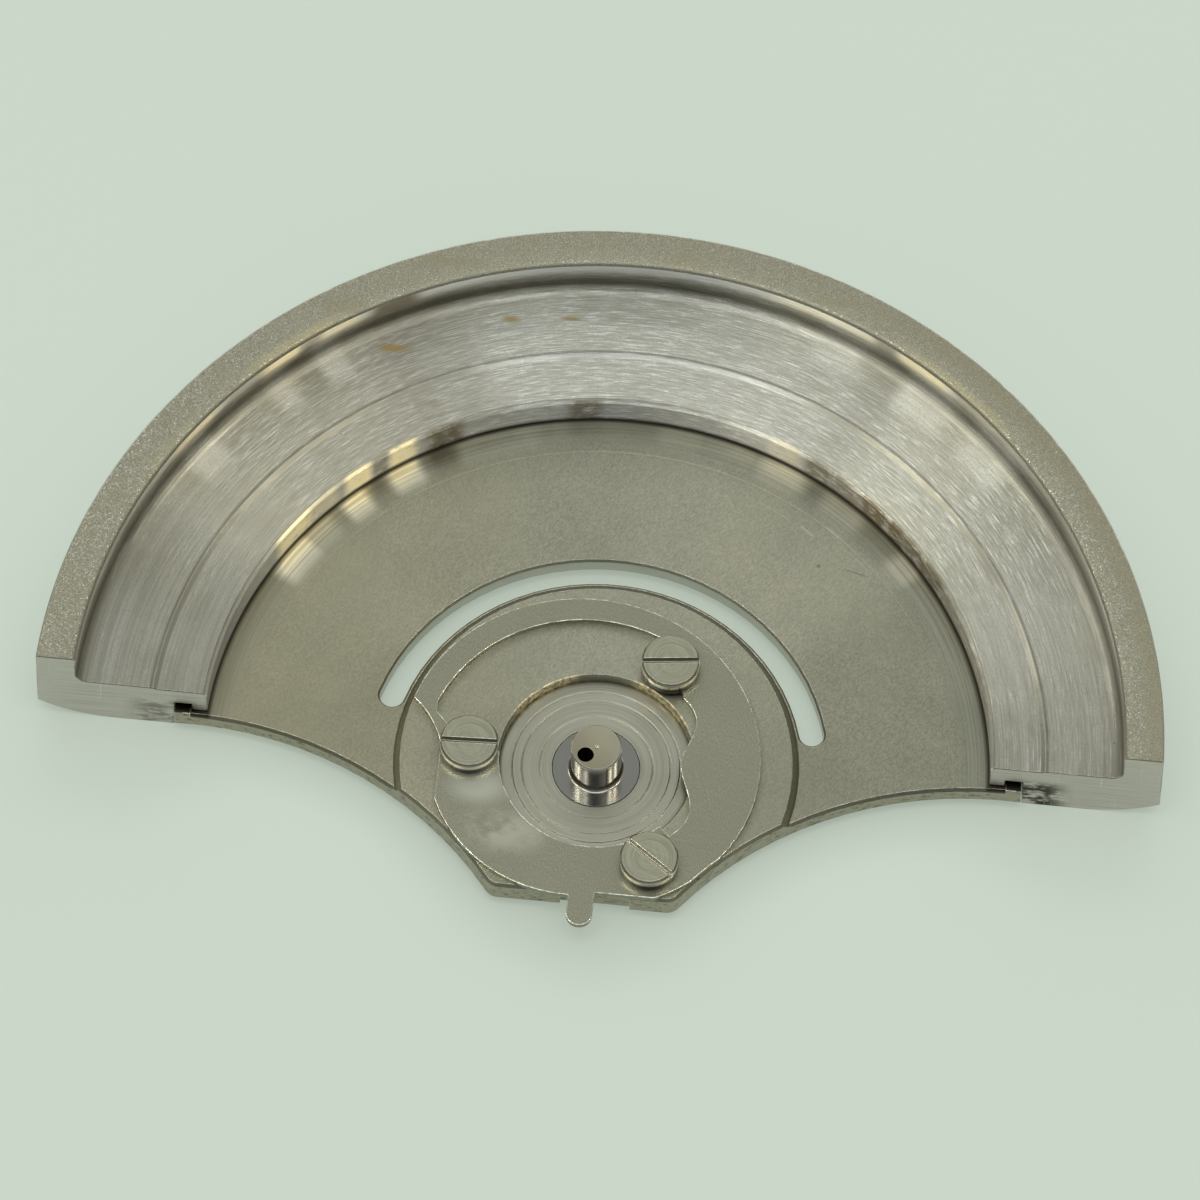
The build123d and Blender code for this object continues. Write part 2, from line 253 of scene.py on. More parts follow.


# Edges: where the surface turns sharply it is rounded, and bright in broken dots, partly wear and partly a painted
# highlight
edgeWearAndHighlightEffect = {
    "samples": 8, "noise": (7.0, 3.0, 0.7), "broken": (0.38, 0.62, 0.08, 1.0), "turn": (0.004, 0.12), "plain": 0.6,
}


def makeEdgeWearAndHighlight():
    s = edgeWearAndHighlightEffect
    group, given = newGroup("edgeWearAndHighlight", Reach=0.04)
    bevel = addNode(group, "Bevel", {"Radius": times(group, given["Reach"], mm)}, samples=s["samples"]).outputs[0]
    plain = addNode(group, "NewGeometry").outputs["Normal"]
    turn = calc(group, "SUBTRACT", 1.0, vecCalc(group, "DOT_PRODUCT", bevel, plain))
    broken = fade(group, noiseAt(group, millimetres(group), *s["noise"]), *s["broken"])
    bent = vecCalc(group, "ADD", scaled(group, plain, s["plain"]), bevel)
    return closeGroup(group, Edge=times(group, fade(group, turn, *s["turn"]), broken),
                      Normal=vecCalc(group, "NORMALIZE", bent))


turnedRings = makeTurnedRings()
satinGrain = makeSatinGrain()
blastGrain = makeBlastGrain()
handlingMarks = makeHandlingMarks()
edgeWearAndHighlight = makeEdgeWearAndHighlight()
print("shared effects made")


# Materials
def spotAt(tree, x, y, centreX, centreY, sizeX, sizeY):  # a soft oval spot
    dx = calc(tree, "DIVIDE", calc(tree, "SUBTRACT", x, centreX), sizeX)
    dy = calc(tree, "DIVIDE", calc(tree, "SUBTRACT", y, centreY), sizeY)
    return fade(tree, radiusOf(tree, dx, dy), 0.2, 1.0, 1.0, 0.0)


def bandAt(tree, value, middle, half, soft):  # 1 within half of the middle, 0 beyond half + soft
    away = calc(tree, "ABSOLUTE", calc(tree, "SUBTRACT", value, middle))
    return fade(tree, away, half, half + soft, 1.0, 0.0)


def lineAt(tree, x, y, startX, startY, endX, endY, half):  # a straight scratch that thins out at its ends
    length = math.hypot(endX - startX, endY - startY)
    dx = calc(tree, "SUBTRACT", x, (startX + endX) / 2)
    dy = calc(tree, "SUBTRACT", y, (startY + endY) / 2)
    along, over = turnedBy(tree, dx, dy, (endX - startX) / length, (endY - startY) / length)
    return times(tree, bandAt(tree, along, 0.0, length * 0.3, length * 0.2), bandAt(tree, over, 0.0, half * 0.4, half))


def degreesRound(tree, x, y):
    return times(tree, calc(tree, "ARCTAN2", y, x), 180 / math.pi)


def arcsAt(tree, degrees, arcs):  # each arc: middle and half width in degrees, softness, strength
    total = None
    for middle, half, soft, strength in arcs:
        arc = times(tree, bandAt(tree, degrees, middle, half, soft), strength)
        total = arc if total is None else calc(tree, "MAXIMUM", total, arc)
    return total


class Coat:  # a metal's finish, on whose colour tints of its settings are laid one after another
    def __init__(self, name, settings):
        self.settings = settings
        self.material = bpy.data.materials.new(name)
        self.material.use_nodes = True
        self.tree = self.material.node_tree
        self.tree.nodes.clear()
        self.shader = self.tree.nodes.new("ShaderNodeBsdfPrincipled")
        self.shader.inputs["Metallic"].default_value = 1.0
        output = self.tree.nodes.new("ShaderNodeOutputMaterial")
        self.tree.links.new(self.shader.outputs[0], output.inputs["Surface"])

    def start(self, tone):
        self.colour = mixColour(self.tree, tone, self.settings["dark"], self.settings["light"])

    def mix(self, mask, colour):
        self.colour = mixColour(self.tree, mask, self.colour, colour)

    def lay(self, tint, *masks, strength=None):  # each tint of the settings has its usual strength beside it
        colour, usual = self.settings[tint]
        self.mix(times(self.tree, *masks, usual if strength is None else strength), colour)

    def streak(self, tint, place, degrees, arcs):
        self.lay(tint, place, arcsAt(self.tree, degrees, self.settings[arcs]), strength=1.0)

    def brush(self, x, y):  # the rings lie across x, y, so light spreads along it
        turned = addNode(self.tree, "VectorTransform", {0: joinXyz(self.tree, x, y, 0.0)}, convert_from="OBJECT",
                         convert_to="WORLD").outputs[0]
        feedAll(self.tree, self.shader.inputs, {"Anisotropic": self.settings["anisotropic"],
                                                "Tangent": vecCalc(self.tree, "NORMALIZE", turned)})

    def complete(self, rough, height, normal=None):
        bump = {"Height": height, "Distance": self.settings["bumpDepth"] * mm, "Strength": self.settings["bump"]}
        if normal is not None:
            bump["Normal"] = normal
        feedAll(self.tree, self.shader.inputs, {"Base Color": self.colour, "Roughness": rough,
                                                "Normal": addNode(self.tree, "Bump", bump).outputs[0]})
        return self.material


# Settings: a tint with its strength, a fade with its limits, a band with its middle, half width and softness
turnedSteel = {
    "light": rgb(0.50, 0.495, 0.435), "dark": rgb(0.405, 0.40, 0.35), "glint": (rgb(0.88, 0.88, 0.85), 0.35),
    "smudge": (rgb(0.33, 0.32, 0.265), 0.22), "speck": (rgb(0.09, 0.08, 0.06), 0.8),
    "stain": (rgb(0.36, 0.25, 0.09), 0.8), "grimeAndShade": (rgb(0.045, 0.04, 0.028), 0.45),
    "edge": (rgb(0.86, 0.85, 0.80), 0.45), "paintedWallShade": (rgb(0.10, 0.085, 0.055), 1.0),
    "paintedWallSheen": (rgb(0.72, 0.71, 0.645), 0.85), "paintedGoldHighlight": (rgb(0.97, 0.85, 0.54), 1.0),
    "paintedDarkReflection": (rgb(0.15, 0.125, 0.075), 1.0), "dashGain": 0.62, "dullGain": 0.5, "sandGain": 0.35,
    "stepGain": 0.9, "footGain": 0.5, "boreFootGain": 0.85,
    "pitch": 0.034, "break": 2.6, "shift": 3.0, "reach": 0.018, "rough": 0.34, "wallRough": 0.36,
    "smudgeRough": 0.08, "toneRough": -0.06, "anisotropic": 0.95, "sway": 0.16, "bumpDepth": 0.012, "bump": 0.6,
    "sandBump": 0.25, "lean": 1.1, "lit": (2.5, 7.5, 0.1, 1.0), "dash": (0.0, 0.16), "dull": (0.0, -0.14),
    "sand": (16.0, 2.0, 0.6), "sandSpan": (0.50, 0.66), "upper": (0.5, 0.6), "withinRim": (12.5, 12.3),
    "nearWall": (11.0, 11.5), "stepShade": (10.365, 0.012, 0.035), "stepLine": (10.262, 0.025, 0.035),
    "sideways": (2.0, 5.0), "paintedFilletShade": (11.93, 0.07, 0.06), "rimFrom": (11.9, 12.0),
    "wallFrom": (12.03, 12.09), "wallFoot": (1.05, 1.55, 1.0, 0.0), "footDepth": (0.30, 0.58),
    "wallTop": (1.45, 1.95), "wallLean": (1.35, 1.75), "boreRadius": (9.10, 9.16, 1.0, 0.0),
    "boreRise": (-0.2, 0.0), "boreFoot": (0.09, 0.26, 1.0, 0.0), "raggedTurn": 0.45, "raggedRise": 5.0,
    "ragged": (1.0, 4.0, 0.7), "brownSpan": (0.30, 0.55), "goldSpan": (0.74, 0.50),
    # arcs round the axis for painted reflection (gold highlights, bright streaks, dark bands) and for the painted
    # shade at the wall's foot
    "boreHighlightArcs": [(146, 2.5, 2.5, 0.95), (140, 1.5, 2.5, 0.4), (133.2, 1.4, 1.8, 1.0), (125.4, 1.3, 1.8, 1.0),
                 (84, 2.5, 3, 0.08), (73, 2.5, 3, 0.06), (67, 1.3, 2.5, 0.32)],
    "boreShadeArcs": [(118.5, 1.6, 2.4, 0.9), (129.3, 0.8, 1.2, 0.45), (97.3, 1.2, 2.5, 0.75), (61, 1.2, 2.2, 0.7),
                  (55, 3, 3, 0.65), (48.5, 3.5, 3, 0.95), (39, 3.5, 5, 0.85), (24, 9, 8, 0.48)],
    "floorShadeArcs": [(131, 17, 8, 0.25), (119.5, 1.0, 2.5, 0.36), (160, 4, 8, 0.12), (60.5, 1.0, 3.0, 0.14)],
    "outerShadeArcs": [(130.3, 0.5, 1.5, 0.25), (108, 8, 4, 0.13), (93, 6, 5, 0.15)],
    "outerHighlightArcs": [(146, 1.2, 2, 0.35), (134, 0.6, 1.5, 0.30), (127, 0.8, 1.5, 0.32), (67, 1.5, 2.5, 0.25),
                  (55.5, 2, 2.5, 0.5), (45.5, 2, 2.5, 0.45)],
    "wallHighlightArcs": [(146, 2, 3, 0.6), (133, 1.5, 2.2, 0.8), (125.5, 1.5, 2.2, 0.55), (69.5, 4.5, 4, 0.32),
                 (57, 2, 3, 0.7)],
    "wallShadeArcs": [(118.5, 1.5, 2.4, 0.85), (129, 0.6, 1.6, 0.5), (138, 1.5, 3, 0.35), (62, 0.6, 1.8, 0.55),
                  (48, 3, 4, 0.45), (26, 18, 6, 0.36), (155, 4, 6, 0.2)],
    "footShadeArcs": [(102, 18, 8, 1.0)],
    "stains": [(-5.75, 9.90, 0.50, 0.16), (-3.1, 10.95, 0.30, 0.12), (-1.7, 11.1, 0.36, 0.08)],
}


def makeTurnedSteel(name, rough):
    s, coat = turnedSteel, Coat(name, turnedSteel)
    tree = coat.tree
    rings = useGroup(tree, turnedRings, Pitch=s["pitch"], Break=s["break"])
    marks = useGroup(tree, handlingMarks, Shift=s["shift"])
    edge = useGroup(tree, edgeWearAndHighlight, Reach=s["reach"])
    x, y, z = axesFrom(tree)
    radius, degrees = radiusOf(tree, x, y), degreesRound(tree, x, y)
    coat.start(rings["Tone"])
    # painted glints: bright dashes along the rings, and towards the back (+y), where the lamps' streaks fall, stronger
    # bright and dark dashes
    coat.lay("glint", rings["Glint"])
    lit = fade(tree, y, *s["lit"])
    coat.lay("glint", fade(tree, rings["Dash"], *s["dash"]), strength=times(tree, lit, s["dashGain"]))
    coat.lay("smudge", fade(tree, rings["Dash"], *s["dull"]), strength=times(tree, lit, s["dullGain"]))
    upper = fade(tree, z, *s["upper"])
    onFloor = times(tree, upper, fade(tree, radius, *s["withinRim"]))
    nearWall = times(tree, onFloor, fade(tree, radius, *s["nearWall"]))
    # painted reflection: dark bands on the floors and, near the wall, dark bands and bright streaks, in arcs round the
    # axis
    coat.streak("paintedDarkReflection", onFloor, degrees, "floorShadeArcs")
    coat.streak("paintedDarkReflection", nearWall, degrees, "outerShadeArcs")
    coat.streak("glint", nearWall, degrees, "outerHighlightArcs")
    sand = noiseAt(tree, millimetres(tree), *s["sand"])
    coat.lay("smudge", fade(tree, sand, *s["sandSpan"]), strength=s["sandGain"])
    coat.lay("smudge", marks["Smudge"])
    # painted shade along the step; on the step's edge, painted shade at the sides and a painted highlight in the
    # middle
    coat.lay("grimeAndShade", bandAt(tree, radius, *s["stepShade"]), upper)
    shine = times(tree, bandAt(tree, radius, *s["stepLine"]), upper)
    sideways = fade(tree, calc(tree, "ABSOLUTE", x), *s["sideways"])
    coat.lay("smudge", shine, sideways, strength=s["stepGain"])
    coat.lay("glint", shine, fade(tree, sideways, 1.0, 0.0))
    # painted shade at the foot of the rim's inner wall, deepest on the far side
    wallFoot = times(tree, fade(tree, z, *s["wallFoot"]), fade(tree, radius, *s["wallFrom"]))
    depth = calc(tree, "MULTIPLY_ADD", arcsAt(tree, degrees, s["footShadeArcs"]), *s["footDepth"])
    coat.lay("paintedWallShade", wallFoot, upper, strength=depth)
    inRim = times(tree, fade(tree, radius, *s["rimFrom"]), fade(tree, radius, *s["withinRim"]))
    # painted reflection: the upper part of the rim's inner wall lighter, with gold highlights and dark bands in arcs
    # round the axis
    coat.lay("paintedWallSheen", fade(tree, z, *s["wallTop"]), inRim)
    leaning = times(tree, fade(tree, z, *s["wallLean"]), inRim)
    coat.streak("paintedGoldHighlight", leaning, degrees, "wallHighlightArcs")
    coat.streak("paintedDarkReflection", leaning, degrees, "wallShadeArcs")
    # painted shade on the fillet at the wall's foot, at the sides, dimming its highlight
    coat.lay("smudge", bandAt(tree, radius, *s["paintedFilletShade"]), sideways, strength=s["footGain"])
    for stain in s["stains"]:
        coat.lay("stain", spotAt(tree, x, y, *stain))
    coat.lay("speck", marks["Speck"])
    # bright broken edges: partly wear, partly a painted highlight
    coat.lay("edge", edge["Edge"])
    # painted reflection on the bore wall: gold highlights and dark bands in ragged arcs; painted shade at its foot, in
    # the corner against the plate
    bore = times(tree, fade(tree, radius, *s["boreRadius"]), fade(tree, z, *s["boreRise"]))
    ragged = noiseAt(tree, joinXyz(tree, times(tree, degrees, s["raggedTurn"]), times(tree, z, s["raggedRise"]), 0.0),
                     *s["ragged"])
    for tint, arcs, span in (("paintedDarkReflection", "boreShadeArcs", "brownSpan"), ("paintedGoldHighlight", "boreHighlightArcs", "goldSpan")):
        drawn = times(tree, arcsAt(tree, degrees, s[arcs]), fade(tree, ragged, *s[span]))
        coat.lay(tint, bore, drawn)
    coat.lay("grimeAndShade", bore, fade(tree, z, *s["boreFoot"]), strength=s["boreFootGain"])
    rough = calc(tree, "ADD", times(tree, marks["Smudge"], s["smudgeRough"]),
                 calc(tree, "MULTIPLY_ADD", rings["Tone"], s["toneRough"], rough))
    coat.brush(x, y)
    feed(tree, coat.shader.inputs["Anisotropic Rotation"], times(tree, rings["Dash"], s["sway"]))
    height = calc(tree, "MULTIPLY_ADD", sand, s["sandBump"], rings["Height"])
    upward = times(tree, calc(tree, "MAXIMUM", leaning, bore), s["lean"])  # only the light's angle, no shape
    leant = vecCalc(tree, "ADD", edge["Normal"], joinXyz(tree, 0.0, 0.0, upward))
    return coat.complete(rough, height, vecCalc(tree, "NORMALIZE", leant))


blastedSteel = {
    "light": rgb(0.365, 0.36, 0.295), "dark": rgb(0.205, 0.20, 0.155), "sparkle": (rgb(0.70, 0.70, 0.65), 0.42),
    "pit": (rgb(0.13, 0.125, 0.085), 0.45), "dirt": (rgb(0.25, 0.23, 0.15), 0.28),
    "speck": (rgb(0.10, 0.08, 0.05), 0.6), "paintedLipHighlight": (rgb(0.60, 0.59, 0.51), 0.7),
    "paintedGoldHighlight": (rgb(0.46, 0.40, 0.22), 1.0), "outerRightGain": 0.35, "patchGain": 0.45, "size": 0.026, "shift": 11.0,
    "rough": 0.46, "sparkleRough": -0.22, "bumpDepth": 0.010, "bump": 0.7, "toneSpan": (0.60, 1.10),
    "backFade": (6.5, 12.5, 1.0, 0.2), "outerRightRadius": (12.45, 12.75), "outerRightX": (3.0, 8.0), "outerRightShare": 0.7,
    "lip": (12.11, 0.025, 0.025), "lipGlow": (12.20, 0.06, 0.16),
    "lipHighlightArcs": [(131, 3, 6, 0.35), (52, 4, 7, 0.3), (150, 2, 6, 0.15)],
    "patches": [(-4.6, 11.75, 1.5, 0.22), (-6.9, 10.3, 0.9, 0.3), (0.9, 12.3, 0.7, 0.3), (4.3, 11.6, 1.2, 0.22)],
}


def makeBlastedSteel(name):
    s, coat = blastedSteel, Coat(name, blastedSteel)
    tree = coat.tree
    grain = useGroup(tree, blastGrain, Size=s["size"])
    marks = useGroup(tree, handlingMarks, Shift=s["shift"])
    x, y, _ = axesFrom(tree)
    radius = radiusOf(tree, x, y)
    # the rim's outer band on the right is darker and has less sparkle; sparkle and pits fade towards the back (+y)
    outerRight = times(tree, fade(tree, radius, *s["outerRightRadius"]), fade(tree, x, *s["outerRightX"]))
    crisp = times(tree, fade(tree, y, *s["backFade"]),
                  calc(tree, "SUBTRACT", 1.0, times(tree, outerRight, s["outerRightShare"])))
    coat.start(fade(tree, grain["Height"], *s["toneSpan"]))
    # painted sparkle: bright flecks on the blasted grain
    coat.lay("sparkle", grain["Sparkle"], crisp)
    coat.lay("pit", grain["Pit"], crisp)
    coat.lay("dirt", grain["Dirt"])
    coat.lay("dirt", outerRight, strength=s["outerRightGain"])
    for patch in s["patches"]:
        coat.lay("dirt", spotAt(tree, x, y, *patch), strength=s["patchGain"])
    coat.lay("speck", marks["Speck"])
    # painted highlight on the rim's rounded inner lip, and painted gold highlights beside it in arcs round the axis
    coat.lay("paintedLipHighlight", bandAt(tree, radius, *s["lip"]))
    coat.streak("paintedGoldHighlight", bandAt(tree, radius, *s["lipGlow"]), degreesRound(tree, x, y), "lipHighlightArcs")
    return coat.complete(calc(tree, "MULTIPLY_ADD", grain["Sparkle"], s["sparkleRough"], s["rough"]), grain["Height"])


milledSteel = {
    "light": rgb(0.65, 0.605, 0.555), "dark": rgb(0.51, 0.475, 0.435), "grimeAndShade": (rgb(0.03, 0.028, 0.02), 0.9),
    "edge": (rgb(0.80, 0.79, 0.75), 0.6), "speckGain": 0.6, "scratchGain": 0.3, "pitch": 0.03, "length": 60.0,
    "shift": 5.0, "reach": 0.035, "rough": 0.42, "darkerLowRough": 0.3, "bumpDepth": 0.004, "bump": 0.5,
    "lines": (1.0, 3.0, 0.6), "toneSpan": (0.35, 0.65), "smearSize": (1.0, 1.0, 2.6), "smear": (1.7, 3.0, 0.7),
    "smearSpan": (0.40, 0.56), "darkerLowX": (9.95, 0.35, 0.75), "darkerLowTop": (0.15, 0.62, 1.0, 0.0),
    "leftEnd": (-9.9, -9.7, 0.5, 1.0),
}


def makeMilledSteel(name):
    s, coat = milledSteel, Coat(name, milledSteel)
    tree = coat.tree
    x, _, z = axesFrom(tree)
    lines = noiseAt(tree, joinXyz(tree, calc(tree, "DIVIDE", x, s["pitch"] * s["length"]), 0.0,
                                  calc(tree, "DIVIDE", z, s["pitch"])), *s["lines"])
    marks = useGroup(tree, handlingMarks, Shift=s["shift"])
    edge = useGroup(tree, edgeWearAndHighlight, Reach=s["reach"])
    coat.start(fade(tree, lines, *s["toneSpan"]))
    # the end faces are darker near the lip and towards the bottom, in smeared patches, and rougher there
    smear = noiseAt(tree, vecCalc(tree, "MULTIPLY", millimetres(tree), s["smearSize"]), *s["smear"])
    near = bandAt(tree, calc(tree, "ABSOLUTE", x), *s["darkerLowX"])
    darkerLow = times(tree, near, fade(tree, z, *s["darkerLowTop"]), fade(tree, smear, *s["smearSpan"]),
                  fade(tree, x, *s["leftEnd"]))
    coat.lay("grimeAndShade", darkerLow)
    coat.lay("grimeAndShade", marks["Speck"], strength=s["speckGain"])
    coat.lay("edge", marks["Scratch"], strength=s["scratchGain"])
    # bright broken edges: partly wear, partly a painted highlight
    coat.lay("edge", edge["Edge"])
    return coat.complete(calc(tree, "MULTIPLY_ADD", darkerLow, s["darkerLowRough"], s["rough"]), lines, edge["Normal"])


plateFinish = {
    "light": rgb(0.345, 0.342, 0.272), "dark": rgb(0.23, 0.229, 0.173), "ringLight": rgb(0.37, 0.367, 0.30),
    "ringDark": rgb(0.25, 0.247, 0.198), "cutDark": rgb(0.14, 0.115, 0.07), "cutLight": rgb(0.42, 0.385, 0.30),
    "cloud": (rgb(0.26, 0.259, 0.195), 0.35), "speck": (rgb(0.09, 0.08, 0.06), 0.7),
    "shine": (rgb(0.66, 0.66, 0.60), 0.12), "paintedWarmSheen": (rgb(0.42, 0.375, 0.24), 1.0),
    "paleAndSheen": (rgb(0.92, 0.87, 0.72), 0.045), "paintedDarkReflection": (rgb(0.13, 0.11, 0.07), 1.0),
    "paintedFlankShade": (rgb(0.17, 0.155, 0.105), 0.6), "grimeAndShade": (rgb(0.04, 0.035, 0.025), 0.9),
    "slotWall": (rgb(0.62, 0.61, 0.57), 0.7), "edge": (rgb(0.90, 0.89, 0.83), 0.6),
    "paintedGoldHighlight": (rgb(0.90, 0.76, 0.46), 0.9), "cutGain": 0.85, "grainTurn": 1.0, "pitch": 0.022, "length": 3.0,
    "ringPitch": 0.034, "ringBreak": 2.0, "ringBump": 4.0, "reach": 0.035, "rough": 0.36, "smudgeRough": 0.06,
    "edgeRough": -0.12, "ringRough": -0.08, "anisotropic": 0.45, "bumpDepth": 0.002, "bump": 0.5,
    "ringSpan": (8.17, 8.8, 0.0, 0.75), "ringMark": (8.2, 0.10, 0.05), "seam": (8.93, 9.05), "seamTop": (0.0, 0.06),
    "warmSide": (-9.0, -1.0, 0.35, 0.0), "topSide": (0.0, 0.04), "webFrom": (5.0, 5.6), "webTo": (8.7, 8.1),
    "hubTop": (4.55, 4.45), "hubFlank": (4.655, 0.012, 0.035), "hubFoot": (0.21, 0.25, 1.0, 0.0),
    "outward": (8.15, 8.85), "streaky": (0.38, 0.55, 0.5, 1.0), "upright": (0.3, 0.6, 1.0, 0.0),
    "level": (0.85, 0.95), "tornSize": (1.0, 1.0, 2.5), "torn": (5.0, 4.0, 0.75), "tornSpan": (0.36, 0.50),
    "cutBelow": (0.5, 0.7, 1.0, 0.0), "cutFrom": (3.0, 3.2), "slotAbove": (0.5, 0.7), "slotFrom": (5.0, 5.08),
    "slotTo": (8.0, 7.9), "lip": (2.265, 0.035, 0.03), "lipAbove": (0.7, 1.5), "lipNoise": (9.0, 3.0, 0.7),
    "lipSpan": (0.40, 0.58), "lipSides": (0.5, 0.9),
    "glow": [(148, 2.5, 2.5, 1.0), (142.5, 1.5, 2.5, 0.4), (135, 1.2, 1.8, 1.0), (126, 1.6, 2.0, 1.0),
             (111, 5, 3, 0.14), (82.5, 2, 3, 0.14), (75, 3, 3, 0.10), (66, 2.5, 3, 0.42), (55, 2, 3, 0.32),
             (41.5, 1.2, 2.5, 0.42), (28, 9, 4, 0.06)],
    "gloom": [(119.5, 1.2, 2.2, 0.6), (130.8, 0.5, 1.2, 0.3), (92, 3, 5, 0.14), (61, 1, 2, 0.24), (48, 1, 3, 0.12)],
    "fans": [(48, 3, 13, 0.075), (68, 12, 16, 0.045), (146, 3, 9, 0.02)],
    # each line: from x, y to x, y, half its width and its strength
    "scratches": [(4.07, 6.74, 4.45, 6.45, 0.03, 0.25), (4.66, 6.79, 5.04, 6.47, 0.03, 0.18),
                  (6.9, 2.1, 7.9, 1.2, 0.02, 0.08), (-7.4, 2.0, -6.4, 3.1, 0.02, 0.08),
                  (5.2, 6.2, 5.9, 5.6, 0.02, 0.12), (3.0, 7.3, 3.9, 6.8, 0.02, 0.12)],
    "nicks": [(5.18, 5.70, 5.75, 5.55, 0.02, 0.5), (4.56, 5.73, 4.66, 5.69, 0.04, 0.7),
              (7.5, 2.6, 7.55, 2.3, 0.03, 0.25), (2.1, -2.15, 2.75, -2.85, 0.03, 0.6)],
}


def makePlateMetal(name):
    s, coat = plateFinish, Coat(name, plateFinish)
    tree = coat.tree
    place = millimetres(tree)
    x, y, z = axesFrom(tree)
    radius, degrees = radiusOf(tree, x, y), degreesRound(tree, x, y)
    grain = useGroup(tree, satinGrain, Turn=s["grainTurn"], Pitch=s["pitch"], Length=s["length"])
    rings = useGroup(tree, turnedRings, Pitch=s["ringPitch"], Break=s["ringBreak"])
    marks = useGroup(tree, handlingMarks, Shift=0.0)
    edge = useGroup(tree, edgeWearAndHighlight, Reach=s["reach"])
    ring = fade(tree, radius, *s["ringSpan"])
    coat.start(grain["Tone"])
    coat.lay("cloud", grain["Cloud"])
    coat.mix(ring, mixColour(tree, rings["Tone"], s["ringDark"], s["ringLight"]))
    coat.lay("speck", marks["Speck"])
    coat.lay("shine", marks["Scratch"])
    for tint, lines in (("shine", "scratches"), ("speck", "nicks")):
        for *line, strength in s[lines]:
            coat.lay(tint, lineAt(tree, x, y, *line), strength=strength)
    # painted sheen: the web warmer and lighter towards the left
    coat.lay("paintedWarmSheen", fade(tree, x, *s["warmSide"]))
    topSide = fade(tree, z, *s["topSide"])
    onWeb = times(tree, fade(tree, radius, *s["webFrom"]), fade(tree, radius, *s["webTo"]), topSide)
    # painted sheen: soft fans of light on the web
    coat.streak("paleAndSheen", onWeb, degrees, "fans")
    coat.lay("paleAndSheen", fade(tree, radius, *s["hubTop"]))
    outward = times(tree, fade(tree, radius, *s["outward"]), topSide)
    # painted reflection near the bore: dark bands, and bright patches along the streaky rings
    coat.streak("paintedDarkReflection", outward, degrees, "gloom")
    streaky = fade(tree, rings["Height"], *s["streaky"])
    coat.streak("paleAndSheen", times(tree, outward, streaky), degrees, "glow")
    # painted shade at the foot of the hub's raised disc
    coat.lay("paintedFlankShade", bandAt(tree, radius, *s["hubFlank"]), fade(tree, z, *s["hubFoot"]))
    # painted shade in the corner where the plate meets the ring's bore wall
    coat.lay("grimeAndShade", fade(tree, radius, *s["seam"]), fade(tree, z, *s["seamTop"]))
    normal = addNode(tree, "NewGeometry").outputs["Normal"]
    facing = calc(tree, "ABSOLUTE", splitXyz(tree, normal)[2])
    upright = fade(tree, facing, *s["upright"])
    torn = noiseAt(tree, vecCalc(tree, "MULTIPLY", place, s["tornSize"]), *s["torn"])
    coat.mix(times(tree, upright, fade(tree, y, *s["cutBelow"]), fade(tree, radius, *s["cutFrom"]), s["cutGain"]),
             mixColour(tree, fade(tree, torn, *s["tornSpan"]), s["cutDark"], s["cutLight"]))
    withinSlot = times(tree, fade(tree, radius, *s["slotFrom"]), fade(tree, radius, *s["slotTo"]))
    coat.lay("slotWall", upright, fade(tree, y, *s["slotAbove"]), withinSlot)
    onMark = times(tree, bandAt(tree, radius, *s["ringMark"]), topSide, fade(tree, facing, *s["level"]))
    offMark = calc(tree, "SUBTRACT", 1.0, onMark)
    # bright broken edges, partly wear and partly a painted highlight, left off the fine ring mark
    coat.lay("edge", edge["Edge"], offMark)
    # a broken painted gold highlight along the recess edge in the hub, towards the back and away from the middle
    broken = fade(tree, noiseAt(tree, place, *s["lipNoise"]), *s["lipSpan"])
    coat.lay("paintedGoldHighlight", bandAt(tree, radius, *s["lip"]), fade(tree, y, *s["lipAbove"]), broken,
             fade(tree, calc(tree, "ABSOLUTE", x), *s["lipSides"]))
    satin = calc(tree, "MULTIPLY_ADD", marks["Smudge"], s["smudgeRough"], s["rough"])
    satin = calc(tree, "MULTIPLY_ADD", edge["Edge"], s["edgeRough"], satin)
    rough = calc(tree, "MULTIPLY_ADD", ring, s["ringRough"], satin)
    coat.brush(x, y)
    height = addNode(tree, "Mix", {"Factor": ring, "A": grain["Height"],
                                   "B": times(tree, rings["Height"], s["ringBump"])}).outputs[0]
    flat = vecCalc(tree, "ADD", scaled(tree, edge["Normal"], offMark), joinXyz(tree, 0.0, 0.0, onMark))
    return coat.complete(rough, height, vecCalc(tree, "NORMALIZE", flat))


collarFinish = {
    "light": rgb(0.41, 0.405, 0.33), "dark": rgb(0.31, 0.305, 0.245), "broad": (rgb(0.47, 0.46, 0.385), 0.4),
    "smudge": (rgb(0.31, 0.305, 0.245), 0.25), "shine": (rgb(0.78, 0.78, 0.73), 0.5),
    "shade": (rgb(0.13, 0.12, 0.09), 0.8), "pitch": 0.024, "break": 0.7, "broadPitch": 0.10, "broadBreak": 0.3,
    "shift": 7.0, "reach": 0.02, "rough": 0.36, "toneRough": -0.06, "anisotropic": 0.4, "bumpDepth": 0.002,
    "bump": 0.4, "marks": (1.316, 1.725, 1.947), "rim": (2.225, 0.02, 0.05),
    # the painted shade and the painted highlight beside each mark: how far off it, half its width, softness and
    # strength
    "markShade": (-0.022, 0.006, 0.016, 0.12), "markShine": (0.012, 0.008, 0.014, 0.30),
}


